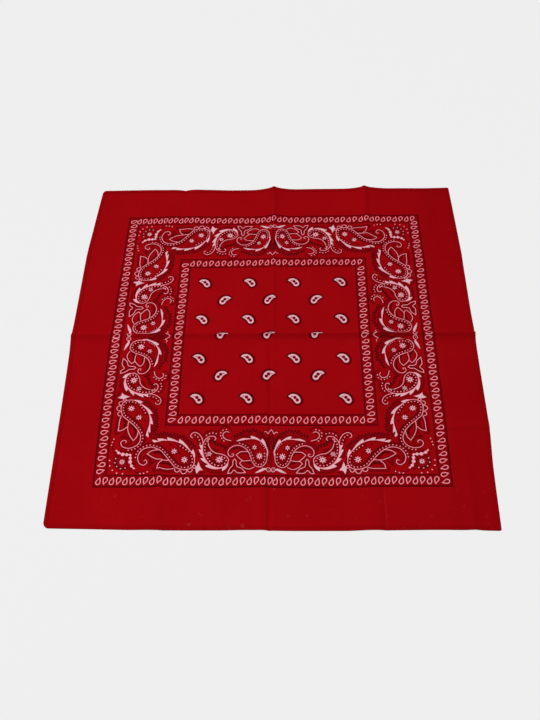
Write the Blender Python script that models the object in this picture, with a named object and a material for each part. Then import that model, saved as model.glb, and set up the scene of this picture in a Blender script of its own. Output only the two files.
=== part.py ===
"""A square cotton bandana, laid flat, with the creases of its packing left in it.

The cloth is one hemmed square of thin cotton. It was folded in quarters each way for its
packet, so three creases run from front to back and three from side to side. Some stand up
as soft ridges, some lie as shallow troughs between two low swells, and each rises and fades
along its length. Between the creases the cloth lies flat on the surface, at z = 0.

X runs to the right, Y to the back and Z up, in metres, with the origin on the surface below
the middle of the cloth. Each hem is a piece of its own, 0.3 mm from the cloth beside it.
"""

import bmesh
import bpy
import numpy as np

MM = 0.001

# Driving sizes
HALF = 270 * MM  # half the side of the hemmed square
CLOTH_WALL = 1.2 * MM
HEM_WALL = 1.8 * MM  # the edge turned under twice
HEM_WIDTH = 5.0 * MM
SEAM_GAP = 0.3 * MM
CORNER_RADII = {"back left": 6.0, "back right": 2.5, "front left": 7.5, "front right": 2.5}  # mm
RED_COTTON = (0.30, 0.0022, 0.0045, 1)

# How far each side lies outside the nominal square: rows of (place along it, out), in mm.
# The packing creases have pulled the sides a little out of straight.
SIDE_ROWS = {
    "left": [(-270, -0.9), (-196, 0.4), (-130, 1.5), (-66, 2.9), (-30, 3.9), (0, 5.4), (25, 4.8),
             (60, 4.4), (140, 3.5), (195, 0.4), (240, -2.6), (270, -4.8)],
    "right": [(-270, -1.1), (-196, 0.9), (-130, 4.3), (-60, 4.4), (-25, 4.6), (5, 5.2), (40, 4.6),
              (140, 4.7), (195, 3.5), (270, 1.2)],
    "front": [(-270, 0.3), (-200, 1.5), (-160, 2.3), (-125, 2.7), (-40, 2.6), (20, 3.2), (87, 3.1),
              (135, 2.4), (200, 1.7), (270, 2.8)],
    "back": [(-270, 2.3), (-180, 3.2), (-138, 0.9), (-105, 2.5), (-60, 0.9), (0, 1.4), (75, 2.4),
             (200, 2.4), (230, 1.9), (270, 2.7)],
}
PULL_STARTS = 200 * MM  # nearer the middle than this, the sides' pull isn't felt

# The ridges, in mm. One that runs "y" lies at one x, and its rows are (y, height); one that
# runs "x" lies at one y, and its rows are (x, height). Its slopes reach out by below on the
# side of lower x or y and by above on the other, and a higher power makes its crest sharper.
# A broad rise with a sharp fold along its crest has an entry for each.
RIDGES = [
    {"runs": "y", "at": 1.4, "below": 36, "above": 38, "power": 2,
     "rows": [(-15, 0), (25, 0.2), (60, 0.6), (135, 1.6), (216, 4.2), (275, 6.2)]},
    {"runs": "y", "at": 1.4, "below": 11, "above": 12, "power": 3,
     "rows": [(-30, 0), (0, 1.2), (60, 1.9), (135, 1.6), (275, 1.7)]},
    {"runs": "y", "at": 140.5, "below": 32, "above": 42, "power": 2,
     "rows": [(-120, 0), (-40, 0.3), (60, 0.5), (135, 1.0), (216, 2.6), (275, 5.2)]},
    {"runs": "y", "at": 140.5, "below": 8, "above": 11, "power": 3,
     "rows": [(-60, 0), (60, 0.4), (135, 0.9), (275, 1.8)]},
    {"runs": "x", "at": 1.6, "below": 16, "above": 5, "power": 3,
     "rows": [(-275, 3.0), (-200, 3.2), (-100, 4.0), (0, 4.3), (110, 4.4), (275, 4.1)]},
    {"runs": "x", "at": 139.0, "below": 30, "above": 26, "power": 2,
     "rows": [(-275, 0.3), (-190, 0), (150, 0), (215, 0.6), (275, 1.1)]},
    {"runs": "y", "at": 238, "below": 17, "above": 15, "power": 2,
     "rows": [(-275, 2.4), (-235, 2.0), (-190, 0.5), (-150, 0)]},
]
# The troughs, between two swells: their rows are (place, height of the swell below, and above).
TROUGHS = [
    {"runs": "y", "at": -1.4, "below": 60, "above": 30,
     "rows": [(-275, 1.9, 0.4), (-90, 1.1, 0.2), (-15, 0, 0)]},
    {"runs": "y", "at": -1.4, "below": 19, "above": 9,
     "rows": [(-275, 1.6, 0.3), (-90, 1.4, 0.3), (-25, 1.2, 0.3), (5, 0, 0)]},
    {"runs": "y", "at": 136.2, "below": 50, "above": 20,
     "rows": [(-275, 2.4, 0.2), (-200, 1.8, 0.2), (-120, 0, 0)]},
    {"runs": "y", "at": -124.5, "below": 45, "above": 20,
     "rows": [(-275, 1.9, 0.3), (-190, 1.2, 0.2), (-90, 0, 0)]},
    {"runs": "y", "at": -136.2, "below": 36, "above": 34,
     "rows": [(90, 0, 0), (150, 0.8, 0.8), (216, 1.3, 1.3), (275, 1.6, 1.6)]},
    {"runs": "x", "at": -144, "below": 18, "above": 17,
     "rows": [(-275, 0.1, 0.2), (-120, 0, 0), (120, 0, 0), (200, 0.2, 0.8), (275, 0.3, 1.1)]},
]
CREASES = RIDGES + TROUGHS
CREST_ROUND = 1.2 * MM  # how tightly the cloth bends over a ridge
SWELL = 27 / 4  # makes the highest value of share * (1 - share) ** 2 one

# The grid lines beside each crease, as shares of the reach of its slopes
LINES_BY_CREASE = (0.0, 0.14, 0.4, 1.0)
LINES_BY_CORNER = (0.0, 2.5)  # in from the hem, in mm
WIDEST_CELL = 42 * MM
NARROWEST_CELL = 2.0 * MM


def clear_scene():
    for old in list(bpy.data.objects):
        bpy.data.objects.remove(old, do_unlink=True)


def read_rows(rows, place):
    """The value at each place, on a smooth curve through rows of (place, value) that never overshoots."""
    at, value = np.array(rows, float).T
    rate = np.diff(value) / np.diff(at)
    both = rate[:-1] * rate[1:]
    level = np.where(both > 0, 2 * both / np.where(both > 0, rate[:-1] + rate[1:], 1), 0)
    slope = np.concatenate([rate[:1], level, rate[-1:]])
    k = np.clip(np.searchsorted(at, place) - 1, 0, len(at) - 2)
    step = at[k + 1] - at[k]
    t = np.clip((place - at[k]) / step, 0, 1)
    start = (1 + 2 * t) * (1 - t) ** 2 * value[k] + t * (1 - t) ** 2 * step * slope[k]
    end = t * t * (3 - 2 * t) * value[k + 1] - t * t * (1 - t) * step * slope[k + 1]
    return start + end


def height(x, y):
    """How far the underside of the cloth stands off the surface."""
    lift = np.zeros_like(x)
    for crease in CREASES:
        across, along = (x, y) if crease["runs"] == "y" else (y, x)
        away = across - crease["at"] * MM
        reach = np.where(away < 0, crease["below"], crease["above"]) * MM
        share = np.clip((np.hypot(away, CREST_ROUND) - CREST_ROUND) / reach, 0, 1)
        places, *heights = zip(*crease["rows"])
        rise = [read_rows(list(zip(places, column)), along / MM) * MM for column in heights]
        if crease in RIDGES:
            lift = lift + rise[0] * (1 - share) ** crease["power"]
        else:
            lift = lift + np.where(away < 0, rise[0], rise[1]) * SWELL * share * (1 - share) ** 2
    return lift


def plan(a, b):
    """Where a point (a, b) of the nominal square lies, seen from above."""
    front = np.where(a < 0, CORNER_RADII["front left"], CORNER_RADII["front right"])
    back = np.where(a < 0, CORNER_RADII["back left"], CORNER_RADII["back right"])
    radius = np.where(b < 0, front, back) * MM
    corner = HALF - radius
    p = np.clip((np.abs(a) - corner) / radius, 0, 1)
    q = np.clip((np.abs(b) - corner) / radius, 0, 1)
    x = np.sign(a) * (np.minimum(np.abs(a), corner) + radius * p * np.sqrt(1 - q * q / 2))
    y = np.sign(b) * (np.minimum(np.abs(b), corner) + radius * q * np.sqrt(1 - p * p / 2))
    out_x = np.where(a < 0, read_rows(SIDE_ROWS["left"], b / MM), read_rows(SIDE_ROWS["right"], b / MM))
    out_y = np.where(b < 0, read_rows(SIDE_ROWS["front"], a / MM), read_rows(SIDE_ROWS["back"], a / MM))
    pull_x = np.clip((np.abs(a) - PULL_STARTS) / (HALF - PULL_STARTS), 0, 1) ** 2
    pull_y = np.clip((np.abs(b) - PULL_STARTS) / (HALF - PULL_STARTS), 0, 1) ** 2
    return x + np.sign(a) * out_x * pull_x * MM, y + np.sign(b) * out_y * pull_y * MM


def grid_lines(runs, end):
    """Where the cells' edges lie from -end to end: close together at the creases that cross them."""
    lines = [-end, end]
    lines += [side * (end - inset * MM) for inset in LINES_BY_CORNER for side in (-1, 1)]
    for crease in CREASES:
        if crease["runs"] != runs:
            continue
        for share in LINES_BY_CREASE:
            lines += [crease["at"] * MM - share * crease["below"] * MM]
            lines += [crease["at"] * MM + share * crease["above"] * MM]
    crests = {crease["at"] * MM for crease in CREASES if crease["runs"] == runs} | {-end, end}
    kept = []
    for line in sorted(lines, key=lambda value: value not in crests):
        if abs(line) <= end and all(abs(line - other) > NARROWEST_CELL for other in kept):
            kept.append(line)
    kept.sort()
    filled = [kept[0]]
    for start, stop in zip(kept, kept[1:]):
        parts = int(np.ceil((stop - start) / WIDEST_CELL))
        filled += [start + (stop - start) * (i + 1) / parts for i in range(parts)]
    return np.array(filled)


def cotton():
    material = bpy.data.materials.new("red_cotton")
    material.use_nodes = True
    shader = material.node_tree.nodes["Principled BSDF"]
    shader.inputs["Base Color"].default_value = RED_COTTON
    shader.inputs["Roughness"].default_value = 0.9
    shader.inputs["Metallic"].default_value = 0.0
    return material


def wall_of_cloth(name, across, deep, wall, material):
    """A closed wall over the cells between the grid lines across (along X) and deep (along Y)."""
    a, b = np.meshgrid(across, deep, indexing="ij")
    x, y = plan(a, b)
    z = height(x, y)
    shell = bmesh.new()
    points = [[shell.verts.new(p) for p in zip(*column)] for column in zip(x, y, z)]
    for left, right in zip(points, points[1:]):
        for i in range(len(deep) - 1):
            shell.faces.new((left[i], right[i], right[i + 1], left[i + 1])).smooth = True
    mesh = bpy.data.meshes.new(name)
    shell.to_mesh(mesh)
    shell.free()
    mesh.materials.append(material)
    piece = bpy.data.objects.new(name, mesh)
    bpy.context.scene.collection.objects.link(piece)
    solid = piece.modifiers.new("wall", "SOLIDIFY")
    solid.thickness = wall
    solid.offset = 1  # the wall stands on its underside
    return piece


def build():
    clear_scene()
    material = cotton()
    inside = HALF - HEM_WIDTH
    panel_across = grid_lines("y", inside - SEAM_GAP)
    panel_deep = grid_lines("x", inside - SEAM_GAP)
    hem = np.linspace(inside, HALF, 3)
    full_deep = np.concatenate([-hem[::-1], panel_deep, hem])
    wall_of_cloth("cloth", panel_across, panel_deep, CLOTH_WALL, material)
    wall_of_cloth("hem_left", -hem[::-1], full_deep, HEM_WALL, material)
    wall_of_cloth("hem_right", hem, full_deep, HEM_WALL, material)
    wall_of_cloth("hem_front", panel_across, -hem[::-1], HEM_WALL, material)
    wall_of_cloth("hem_back", panel_across, hem, HEM_WALL, material)


build()
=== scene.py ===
"""Looks of the bandana: its cloth, hems, sewing and print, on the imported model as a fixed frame."""

import bpy
import numpy as np
from mathutils import Matrix, Vector, geometry


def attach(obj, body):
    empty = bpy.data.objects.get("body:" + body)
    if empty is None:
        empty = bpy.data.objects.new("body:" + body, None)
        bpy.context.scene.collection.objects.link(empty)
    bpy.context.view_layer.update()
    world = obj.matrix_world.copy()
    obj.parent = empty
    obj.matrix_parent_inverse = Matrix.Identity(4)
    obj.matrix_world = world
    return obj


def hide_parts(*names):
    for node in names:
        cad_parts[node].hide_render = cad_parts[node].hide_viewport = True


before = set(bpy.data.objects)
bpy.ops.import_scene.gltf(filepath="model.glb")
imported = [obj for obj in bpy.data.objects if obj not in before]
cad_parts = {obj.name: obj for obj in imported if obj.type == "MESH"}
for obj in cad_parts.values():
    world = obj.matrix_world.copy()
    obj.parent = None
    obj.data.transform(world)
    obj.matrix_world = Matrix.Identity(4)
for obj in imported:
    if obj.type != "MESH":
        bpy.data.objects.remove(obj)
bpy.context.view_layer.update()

MM = 0.001

# ---------------------------------------------------------------- the form of the cloth
# These sizes repeat the part's own, in metres and in the tables in mm. The rows of a side are
# (place along it, how far it lies outside the square). A ridge that runs "y" lies at one x and has
# rows of (y, height). Its slopes reach out by below and above, and a higher power makes it sharper.
# A trough has rows of (place, height of the swell below it, height of the one above).
HALF = 270 * MM  # half the side of the hemmed square
CORNER_RADII = {"back left": 6.0, "back right": 2.5, "front left": 7.5, "front right": 2.5}  # mm
SIDE_ROWS = {
    "left": [(-270, -0.9), (-196, 0.4), (-130, 1.5), (-66, 2.9), (-30, 3.9), (0, 5.4), (25, 4.8),
             (60, 4.4), (140, 3.5), (195, 0.4), (240, -2.6), (270, -4.8)],
    "right": [(-270, -1.1), (-196, 0.9), (-130, 4.3), (-60, 4.4), (-25, 4.6), (5, 5.2), (40, 4.6),
              (140, 4.7), (195, 3.5), (270, 1.2)],
    "front": [(-270, 0.3), (-200, 1.5), (-160, 2.3), (-125, 2.7), (-40, 2.6), (20, 3.2), (87, 3.1),
              (135, 2.4), (200, 1.7), (270, 2.8)],
    "back": [(-270, 2.3), (-180, 3.2), (-138, 0.9), (-105, 2.5), (-60, 0.9), (0, 1.4), (75, 2.4),
             (200, 2.4), (230, 1.9), (270, 2.7)],
}
PULL_STARTS = 200 * MM  # nearer the middle than this, the sides' pull isn't felt
RIDGES = [
    {"runs": "y", "at": 1.4, "below": 36, "above": 38, "power": 2,
     "rows": [(-15, 0), (25, 0.2), (60, 0.6), (135, 1.6), (216, 4.2), (275, 6.2)]},
    {"runs": "y", "at": 1.4, "below": 11, "above": 12, "power": 3,
     "rows": [(-30, 0), (0, 1.2), (60, 1.9), (135, 1.6), (275, 1.7)]},
    {"runs": "y", "at": 140.5, "below": 32, "above": 42, "power": 2,
     "rows": [(-120, 0), (-40, 0.3), (60, 0.5), (135, 1), (216, 2.6), (275, 5.2)]},
    {"runs": "y", "at": 140.5, "below": 8, "above": 11, "power": 3,
     "rows": [(-60, 0), (60, 0.4), (135, 0.9), (275, 1.8)]},
    {"runs": "x", "at": 1.6, "below": 16, "above": 5, "power": 3,
     "rows": [(-275, 3), (-200, 3.2), (-100, 4), (0, 4.3), (110, 4.4), (275, 4.1)]},
    {"runs": "x", "at": 139, "below": 30, "above": 26, "power": 2,
     "rows": [(-275, 0.3), (-190, 0), (150, 0), (215, 0.6), (275, 1.1)]},
    {"runs": "y", "at": 238, "below": 17, "above": 15, "power": 2,
     "rows": [(-275, 2.4), (-235, 2), (-190, 0.5), (-150, 0)]},
]
TROUGHS = [
    {"runs": "y", "at": -1.4, "below": 60, "above": 30,
     "rows": [(-275, 1.9, 0.4), (-90, 1.1, 0.2), (-15, 0, 0)]},
    {"runs": "y", "at": -1.4, "below": 19, "above": 9,
     "rows": [(-275, 1.6, 0.3), (-90, 1.4, 0.3), (-25, 1.2, 0.3), (5, 0, 0)]},
    {"runs": "y", "at": 136.2, "below": 50, "above": 20,
     "rows": [(-275, 2.4, 0.2), (-200, 1.8, 0.2), (-120, 0, 0)]},
    {"runs": "y", "at": -124.5, "below": 45, "above": 20,
     "rows": [(-275, 1.9, 0.3), (-190, 1.2, 0.2), (-90, 0, 0)]},
    {"runs": "y", "at": -136.2, "below": 36, "above": 34,
     "rows": [(90, 0, 0), (150, 0.8, 0.8), (216, 1.3, 1.3), (275, 1.6, 1.6)]},
    {"runs": "x", "at": -144, "below": 18, "above": 17,
     "rows": [(-275, 0.1, 0.2), (-120, 0, 0), (120, 0, 0), (200, 0.2, 0.8), (275, 0.3, 1.1)]},
]
CREASES = RIDGES + TROUGHS
CREST_ROUND = 1.2 * MM  # how round the crests are
SWELL = 27 / 4  # a trough's profile, share * (1 - share) ** 2, is 4 / 27 at most
CLOTH_WALL = 0.8 * MM  # the skin's own, thinner than the solid's


def read_rows(rows, place):
    """The value at each place, on a smooth curve through rows of (place, value) that never overshoots."""
    at, value = np.array(rows, float).T
    rate = np.diff(value) / np.diff(at)
    both = rate[:-1] * rate[1:]
    level = np.where(both > 0, 2 * both / np.where(both > 0, rate[:-1] + rate[1:], 1), 0)
    slope = np.concatenate([rate[:1], level, rate[-1:]])
    k = np.clip(np.searchsorted(at, place) - 1, 0, len(at) - 2)
    step = at[k + 1] - at[k]
    t = np.clip((place - at[k]) / step, 0, 1)
    start = (1 + 2 * t) * (1 - t) ** 2 * value[k] + t * (1 - t) ** 2 * step * slope[k]
    end = t * t * (3 - 2 * t) * value[k + 1] - t * t * (1 - t) * step * slope[k + 1]
    return start + end


def height(x, y):
    """How far the underside of the cloth stands off the surface."""
    lift = np.zeros_like(x)
    for crease in CREASES:
        across, along = (x, y) if crease["runs"] == "y" else (y, x)
        away = across - crease["at"] * MM
        reach = np.where(away < 0, crease["below"], crease["above"]) * MM
        share = np.clip((np.hypot(away, CREST_ROUND) - CREST_ROUND) / reach, 0, 1)
        places, *heights = zip(*crease["rows"])
        rise = [read_rows(list(zip(places, column)), along / MM) * MM for column in heights]
        if crease in RIDGES:
            lift = lift + rise[0] * (1 - share) ** crease["power"]
        else:
            lift = lift + np.where(away < 0, rise[0], rise[1]) * SWELL * share * (1 - share) ** 2
    return lift


def normals(x, y):
    """The upward normals of that underside, and so of the cloth's face."""
    d = 0.2 * MM
    slope_x = (height(x + d, y) - height(x - d, y)) / (2 * d)
    slope_y = (height(x, y + d) - height(x, y - d)) / (2 * d)
    up = np.column_stack([-slope_x, -slope_y, np.ones(len(x))])
    return up / np.linalg.norm(up, axis=1)[:, None]


def plan(a, b):
    """Where a point (a, b) of the nominal square lies, seen from above."""
    front = np.where(a < 0, CORNER_RADII["front left"], CORNER_RADII["front right"])
    back = np.where(a < 0, CORNER_RADII["back left"], CORNER_RADII["back right"])
    radius = np.where(b < 0, front, back) * MM
    corner = HALF - radius
    p = np.clip((np.abs(a) - corner) / radius, 0, 1)
    q = np.clip((np.abs(b) - corner) / radius, 0, 1)
    x = np.sign(a) * (np.minimum(np.abs(a), corner) + radius * p * np.sqrt(1 - q * q / 2))
    y = np.sign(b) * (np.minimum(np.abs(b), corner) + radius * q * np.sqrt(1 - p * p / 2))
    out_x = np.where(a < 0, read_rows(SIDE_ROWS["left"], b / MM), read_rows(SIDE_ROWS["right"], b / MM))
    out_y = np.where(b < 0, read_rows(SIDE_ROWS["front"], a / MM), read_rows(SIDE_ROWS["back"], a / MM))
    pull_x = np.clip((np.abs(a) - PULL_STARTS) / (HALF - PULL_STARTS), 0, 1) ** 2
    pull_y = np.clip((np.abs(b) - PULL_STARTS) / (HALF - PULL_STARTS), 0, 1) ** 2
    return x + np.sign(a) * out_x * pull_x * MM, y + np.sign(b) * out_y * pull_y * MM


BESIDE_CREASE = (0, 0.5, 1.0, 1.6, 2.4, 3.4, 4.8, 6.6)  # the grid's lines beside a crease, in mm
LEAST_GAP = 0.35 * MM  # between two of them
CELL = 3.6 * MM  # the most between two lines


def grid_lines(runs, end, cell=CELL):
    """Where the cells' edges lie from -end to end: close together at the creases that cross them."""
    kept = [-end, end]
    crests = [crease["at"] * MM for crease in CREASES if crease["runs"] == runs]
    for beside in BESIDE_CREASE:
        for crest in crests:
            for line_at in {crest - beside * MM, crest + beside * MM}:
                if abs(line_at) < end and min(abs(line_at - other) for other in kept) > LEAST_GAP:
                    kept.append(line_at)
    kept.sort()
    filled = [kept[0]]
    for start, stop in zip(kept, kept[1:]):
        parts = int(max(1, np.ceil((stop - start) / cell)))
        filled += [start + (stop - start) * (i + 1) / parts for i in range(parts)]
    return np.array(filled)


def make_mesh(name, points, faces, materials, smooth=True, vertex_normals=None, uv=None):
    """A piece of the given points and faces, which rides on the one body there is."""
    mesh = bpy.data.meshes.new(name)
    mesh.from_pydata(points.tolist(), [], faces)
    for material in materials:
        mesh.materials.append(material)
    mesh.polygons.foreach_set("use_smooth", [smooth] * len(mesh.polygons))
    if uv is not None:
        layer = mesh.uv_layers.new(name="OFBake")
        corners = np.zeros(len(mesh.loops), int)
        mesh.loops.foreach_get("vertex_index", corners)
        layer.data.foreach_set("uv", uv[corners].ravel())
    mesh.validate()
    mesh.update()
    if vertex_normals is not None:
        mesh.normals_split_custom_set_from_vertices(vertex_normals.tolist())
    piece = bpy.data.objects.new(name, mesh)
    bpy.context.scene.collection.objects.link(piece)
    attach(piece, "root")
    return piece


# ---------------------------------------------------------------- drawing the motifs
# A motif is a list of painted polygons in mm, later ones on top: (paint, corners).
BARE, WHITE, PALE, DARK, SHADE, FAINT = range(6)
PAINTS = (WHITE, PALE, DARK, SHADE, FAINT)  # PALE is the thin lines' pinker white, FAINT the bands' ground
LINE = 0.88  # the pale line of the print
THIN = 1.3  # the dark one
PINK_RIM = 0.45  # how far the pinker white reaches in from the edges of the white
CONTOUR = 1.9  # how far the dull red shade reaches round the white and the pale


SPAN_STEPS = 24  # places worked out between two points of a curve, before they are spaced evenly


def through(points, step=0.9):
    """Evenly spaced places on a smooth curve through the points."""
    p = np.array(points, float)
    p = np.vstack([2 * p[0] - p[1], p, 2 * p[-1] - p[-2]])
    knots = np.concatenate([[0], np.cumsum(np.sqrt(np.hypot(*np.diff(p, axis=0).T)))])
    fine = []
    for i in range(1, len(p) - 2):
        k, q = knots[i - 1:i + 3], p[i - 1:i + 3]
        u = np.linspace(k[1], k[2], SPAN_STEPS, endpoint=False)[:, None]
        a = [((k[j + 1] - u) * q[j] + (u - k[j]) * q[j + 1]) / (k[j + 1] - k[j]) for j in range(3)]
        b = [((k[j + 2] - u) * a[j] + (u - k[j]) * a[j + 1]) / (k[j + 2] - k[j]) for j in range(2)]
        fine.append(((k[2] - u) * b[0] + (u - k[1]) * b[1]) / (k[2] - k[1]))
    fine = np.vstack(fine + [p[-2][None]])
    run = np.concatenate([[0], np.cumsum(np.hypot(*np.diff(fine, axis=0).T))])
    even = np.linspace(0, run[-1], max(2, int(np.ceil(run[-1] / step)) + 1))
    return np.column_stack([np.interp(even, run, fine[:, 0]), np.interp(even, run, fine[:, 1])])


def beside(curve, away):
    """The curve moved sideways, to its left where away is positive."""
    along = np.gradient(curve, axis=0)
    along /= np.hypot(*along.T)[:, None]
    return curve + np.column_stack([-along[:, 1], along[:, 0]]) * np.reshape(away, (-1, 1))


def band(paint, left, right):
    """The strip between two edges, as four-sided cells."""
    return [(paint, [left[i], right[i], right[i + 1], left[i + 1]]) for i in range(len(left) - 1)]


def shaded(left, right):
    """The dull red shade round a strip between two edges, in longer cells."""
    kept = sorted({*range(0, len(left), 3), len(left) - 1})
    over = left[kept] - right[kept]
    over = over / np.maximum(np.hypot(*over.T), 0.2)[:, None] * CONTOUR
    return band(SHADE, left[kept] + over, right[kept] - over)


def line(points, width=LINE, paint=PALE, ends=(0.45, 0.45), step=1.1):
    """A drawn line through the points. ends are the shares of its width that its ends keep."""
    curve = through(points, step)
    run = np.linspace(0, 1, len(curve)) * len(curve) * step
    keep = np.minimum(1, np.minimum(ends[0] + run / 3, ends[1] + run[::-1] / 3))
    left, right = beside(curve, width / 2 * keep), beside(curve, -width / 2 * keep)
    return (shaded(left, right) if paint == PALE else []) + band(paint, left, right)


def dark(points, width=THIN, ends=(0.4, 0.4)):
    return line(points, width, DARK, ends)


def shadow(points, width=3.2):
    """A broad dull red line, such as the print shows beside its larger curves."""
    return line(points, width, SHADE, (0.3, 0.3), 2.0)


def patch(points, paint=WHITE):
    return [(paint, points)]


def disc(at, radius, paint=WHITE, sides=8):
    turn = np.arange(sides) * 2 * np.pi / sides
    return patch([(at[0] + radius * np.cos(a), at[1] + radius * np.sin(a)) for a in turn], paint)


def ring(at, radius, width=LINE, start=0, stop=360, paint=PALE):
    turn = np.radians(np.linspace(start, stop, max(6, int(abs(stop - start) / 18))))
    out = np.column_stack([np.cos(turn), np.sin(turn)])
    outer, inner = at + out * (radius + width / 2), at + out * (radius - width / 2)
    return shaded(outer, inner) + band(paint, outer, inner)


def beads(curve, pitch=3.6, radius=0.84, first=0.0):
    """A row of pale dots along the curve."""
    curve = np.array(curve, float)
    run = np.concatenate([[0], np.cumsum(np.hypot(*np.diff(curve, axis=0).T))])
    painted = shaded(beside(curve, radius), beside(curve, -radius))
    for place in np.arange(first, run[-1], pitch):
        at = (np.interp(place, run, curve[:, 0]), np.interp(place, run, curve[:, 1]))
        painted += disc(at, radius, PALE, 6)
    return painted


def flower(at, radius, petals=8, heart=1.0, turned=0):
    """Pointed petals round a white disc with a dark heart."""
    painted = disc(at, radius + CONTOUR, SHADE, 10)
    for a in np.radians(turned) + np.arange(petals) * 2 * np.pi / petals:
        out, side = np.array([np.cos(a), np.sin(a)]), np.array([-np.sin(a), np.cos(a)])
        shape = [(0.3, 0.14), (0.75, 0.17), (1.06, 0.07), (1.06, -0.07), (0.75, -0.17), (0.3, -0.14)]
        painted += patch([at + radius * (x * out + y * side) for x, y in shape], PALE)
    return painted + disc(at, radius * 0.56, sides=2 * petals) + disc(at, heart, DARK)


def leaf(tip, upper, lower):
    """The two pale edges of a leaf, from its tip."""
    return line([tip] + upper, ends=(1, 0.45)) + line([tip] + lower, ends=(1, 0.45))


def feather(spine, tips, thick=0.9, tooth=3.2, side=-1, ends=(0.5, 0.4), fade=12):
    """A solid white band beside its spine, whose teeth grow towards each tip and drop behind it."""
    curve = through(spine, 0.85)
    share = np.linspace(0, 1, len(curve))
    edges = [0.0] + list(tips)
    grown = np.zeros(len(curve))
    for start, stop in zip(edges, edges[1:]):
        inside = (share >= start) & (share <= stop)
        grown = np.where(inside, np.clip((share - start) / (stop - start), 0, 1) ** 1.3, grown)
    keep = np.minimum(1, np.minimum(ends[0] + share * 8, ends[1] + (1 - share) * fade))
    outer = beside(curve, side * (thick + tooth * grown) * keep)
    along = np.gradient(curve, axis=0)
    outer = outer + along / np.hypot(*along.T)[:, None] * (tooth * 0.6 * grown**2 * keep)[:, None]
    wide = np.maximum(np.hypot(*(outer - curve).T), 0.1)[:, None]
    core = (curve - outer) * np.minimum(PINK_RIM / wide, 0.45)
    return shaded(outer, curve) + band(PALE, outer, curve) + band(WHITE, outer + core, curve - core)


def zigzag(points, pitch=4.2, depth=5.6, width=1.35):
    """A dark serrated line along the curve, with teeth of uneven length."""
    curve = through(points, pitch / 2)
    tooth = np.arange(len(curve))
    teeth = beside(curve, np.where(tooth % 2, 1, -1) * depth / 2 * (1 + 0.25 * np.sin(2.1 * tooth)))
    painted = []
    for a, b in zip(teeth, teeth[1:]):
        side = np.array([-(b - a)[1], (b - a)[0]]) / np.hypot(*(b - a)) * width / 2
        painted += patch([a + side, a - side, b - side, b + side], DARK)
    return painted


# ---------------------------------------------------------------- the motifs
# (s, t): s along a side of the printed frame from its corner, t inwards from its outer line.
FRAME_SIDE = 435.0
SIDE_MIDDLE = FRAME_SIDE / 2
A_TAIL = [(59, 34), (61, 35.5), (62.5, 32), (59, 28.5), (54, 30.5), (51.3, 37), (52, 43), (57, 50),
          (66, 52.7), (75, 49.5), (83, 43), (90, 35), (97, 27)]
A_HEAD = [(97, 27), (103, 24.4), (110, 23.4), (117, 25), (121, 29.5), (121.8, 37), (118.5, 45)]


def paisley_a():
    whole = np.vstack([through(A_TAIL)[14:], through(A_HEAD)[1:]])
    inside = beside(whole, 5.2)[6:-2:3]
    p = shadow(inside, 3.4) + dark(inside[6:], 0.8) + shadow(beside(whole, -2.6)[2:-12:3], 3)
    p += shadow([(57, 36), (60, 41), (65, 39), (67, 34), (65.5, 29)])
    p += dark([(62, 40.6), (66, 37.6), (66.6, 31)], 0.7)
    p += shadow([(66, 27.5), (68.5, 31.5), (75, 34.5)], 2.4) + dark([(64, 25.9), (68, 29.2), (72, 33)], 0.9)
    p += shadow([(72.5, 26.5), (71.5, 20.5), (80, 21), (96, 20.4)], 2.8)
    p += dark([(71.4, 26), (70.6, 20.4)], 0.9)
    p += dark([(69, 44.6), (76, 45.4), (84, 39.6)], 2.4) + dark([(79, 30.4), (87, 31.4), (93, 28.8)], 2.4)
    p += shadow([(66, 65), (78, 67), (90, 66.4), (101, 63), (111, 56.6), (119, 49)], 3)
    p += leaf((62, 43.5), [(67, 47.6), (76, 49.6)], [(70, 38.4), (78, 35.8), (90, 35.4)])
    p += leaf((75, 24), [(76.8, 30.5), (81.5, 35)], [(80, 24.2), (90, 24), (98, 25.4)])
    for at, r in (((100.5, 23.3), 3.2), ((108.8, 21.6), 3.7), ((116.6, 23), 3)):
        p += ring(at, r, start=165, stop=385)
    p += ring((122, 27), 1.9)
    p += line(A_TAIL) + line(A_HEAD)
    p += beads(beside(whole, 2.8)[15:], 4.3)
    p += beads(through([(117.5, 45), (112, 48.4), (105, 53), (98.5, 56.8)]), 4.6)
    p += feather([(121.8, 37), (119, 43.5), (113, 49.8), (104.5, 57), (95, 61), (84, 62), (69, 59)],
                 (0.17, 0.5, 0.73, 0.9, 1), 0.9, 3.9, ends=(0.5, 0.8))
    p += flower((108.6, 36.4), 4.2) + flower((94.8, 47.6), 3.7, 7, turned=30)
    p += dark([(100.4, 46.4), (103.4, 44.6)], 1.8) + dark([(87.5, 57), (92, 55.8)], 1.7)
    return p


B_OUTER = [(142.4, 62.6), (145.4, 62.4), (146.6, 64.8), (144.6, 67.4), (139.4, 67.6), (134.6, 64),
           (131.8, 58), (131.4, 50), (133.1, 42), (137.2, 34), (143.2, 28), (150.6, 25.2), (157.6, 26.2),
           (161.8, 31), (162.4, 35.6), (159.4, 40.4)]
B_INNER = [(159.4, 40.4), (154, 43), (146.6, 45), (141.4, 49.6), (138.2, 56.6), (137.2, 65)]


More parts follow.
